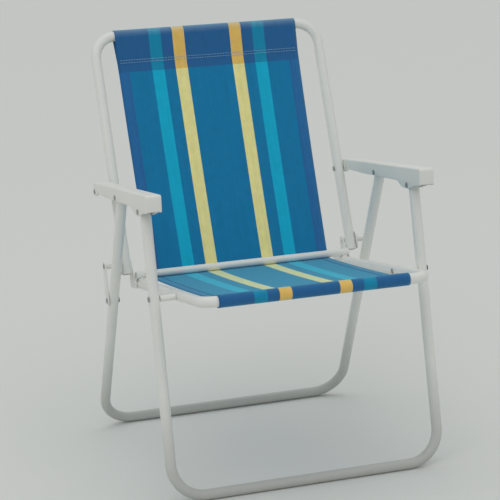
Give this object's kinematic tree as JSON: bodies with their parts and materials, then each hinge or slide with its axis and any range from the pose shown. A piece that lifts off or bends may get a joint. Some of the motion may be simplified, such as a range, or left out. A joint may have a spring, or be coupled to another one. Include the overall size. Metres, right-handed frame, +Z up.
{
  "type": "folding lawn chair",
  "caption": "Folding lawn chair with a white tube frame, plastic armrests and a striped cloth sling from the top bar to the front bar; it folds flat on pivots in arms, seat and links.",
  "frame": {"origin": "on the floor, under the middle of the open chair's box", "axes": "+X to the right as seen from the front, +Y to the back, +Z up"},
  "size_m": [0.5612, 0.6322, 0.8134],
  "materials": {
    "painted_steel": "white gloss paint on steel tube and plate",
    "white_plastic": "white moulded plastic with a satin face",
    "zinc_steel": "zinc plated rivets",
    "cloth": "blue woven cloth with yellow and turquoise stripes along its length"
  },
  "bodies": {
    "rear_legs": {"rear_leg_frame": "painted_steel", "link_leg_rivet_left": "zinc_steel", "link_leg_rivet_right": "zinc_steel"},
    "arms": {"armrest_left": "white_plastic", "armrest_right": "white_plastic", "arm_front_rivet_left": "zinc_steel", "arm_front_rivet_right": "zinc_steel", "arm_middle_rivet_left": "zinc_steel", "arm_middle_rivet_right": "zinc_steel", "arm_back_rivet_left": "zinc_steel", "arm_back_rivet_right": "zinc_steel", "arm_back_washer_left": "white_plastic", "arm_back_washer_right": "white_plastic"},
    "back": {"back_frame": "painted_steel", "sling_back": "cloth", "hinge_plate_left": "painted_steel", "hinge_plate_right": "painted_steel", "upper_plate_rivet_left": "painted_steel", "upper_plate_rivet_right": "painted_steel", "lower_plate_rivet_left": "painted_steel", "lower_plate_rivet_right": "painted_steel", "pivot_pin_left": "painted_steel", "pivot_pin_right": "painted_steel", "pivot_bush_left": "white_plastic", "pivot_bush_right": "white_plastic", "pivot_spacer_left": "white_plastic", "pivot_spacer_right": "white_plastic"},
    "seat": {"seat_frame": "painted_steel", "seat_crossbar": "painted_steel", "sling_seat": "cloth", "sling_crease": "cloth", "seat_plate_left": "painted_steel", "seat_plate_right": "painted_steel", "seat_rivet_left": "zinc_steel", "seat_rivet_right": "zinc_steel", "seat_spacer_left": "white_plastic", "seat_spacer_right": "white_plastic"},
    "front_legs": {"front_leg_frame": "painted_steel", "leg_seat_rivet_left": "zinc_steel", "leg_seat_rivet_right": "zinc_steel"},
    "links": {"link_left": "painted_steel", "link_right": "painted_steel", "link_back_rivet_left": "zinc_steel", "link_back_rivet_right": "zinc_steel"}
  },
  "joints": [
    {"name": "arm_hinge", "type": "hinge", "parent": "rear_legs", "child": "arms", "pos_m": [0, 0.0327, 0.5258], "axis": [-1, 0, 0], "range_deg": [0, 52.99]},
    {"name": "back_hinge", "type": "hinge", "parent": "arms", "child": "back", "pos_m": [0, 0.1925, 0.5109], "axis": [1, 0, 0], "range_deg": [0, 105.5]},
    {"name": "front_leg_hinge", "type": "hinge", "parent": "arms", "child": "front_legs", "pos_m": [0, -0.1303, 0.527], "axis": [1, 0, 0], "range_deg": [0, 90.79]},
    {"name": "seat_hinge", "type": "hinge", "parent": "back", "child": "seat", "pos_m": [0, 0.15399, 0.3679], "axis": [-1, 0, 0], "range_deg": [0, 102.77], "deforming": ["sling_crease"]},
    {"name": "link_hinge", "type": "hinge", "parent": "rear_legs", "child": "links", "pos_m": [0, 0.14487, 0.30014], "axis": [-1, 0, 0], "range_deg": [0, 106.97]}
  ],
  "couplings": [
    {"joint": "back_hinge", "follows": "arm_hinge", "ratio": 1.9909},
    {"joint": "front_leg_hinge", "follows": "arm_hinge", "ratio": 1.7132},
    {"joint": "seat_hinge", "follows": "arm_hinge", "ratio": 1.9392},
    {"joint": "link_hinge", "follows": "arm_hinge", "ratio": 2.0186}
  ]
}
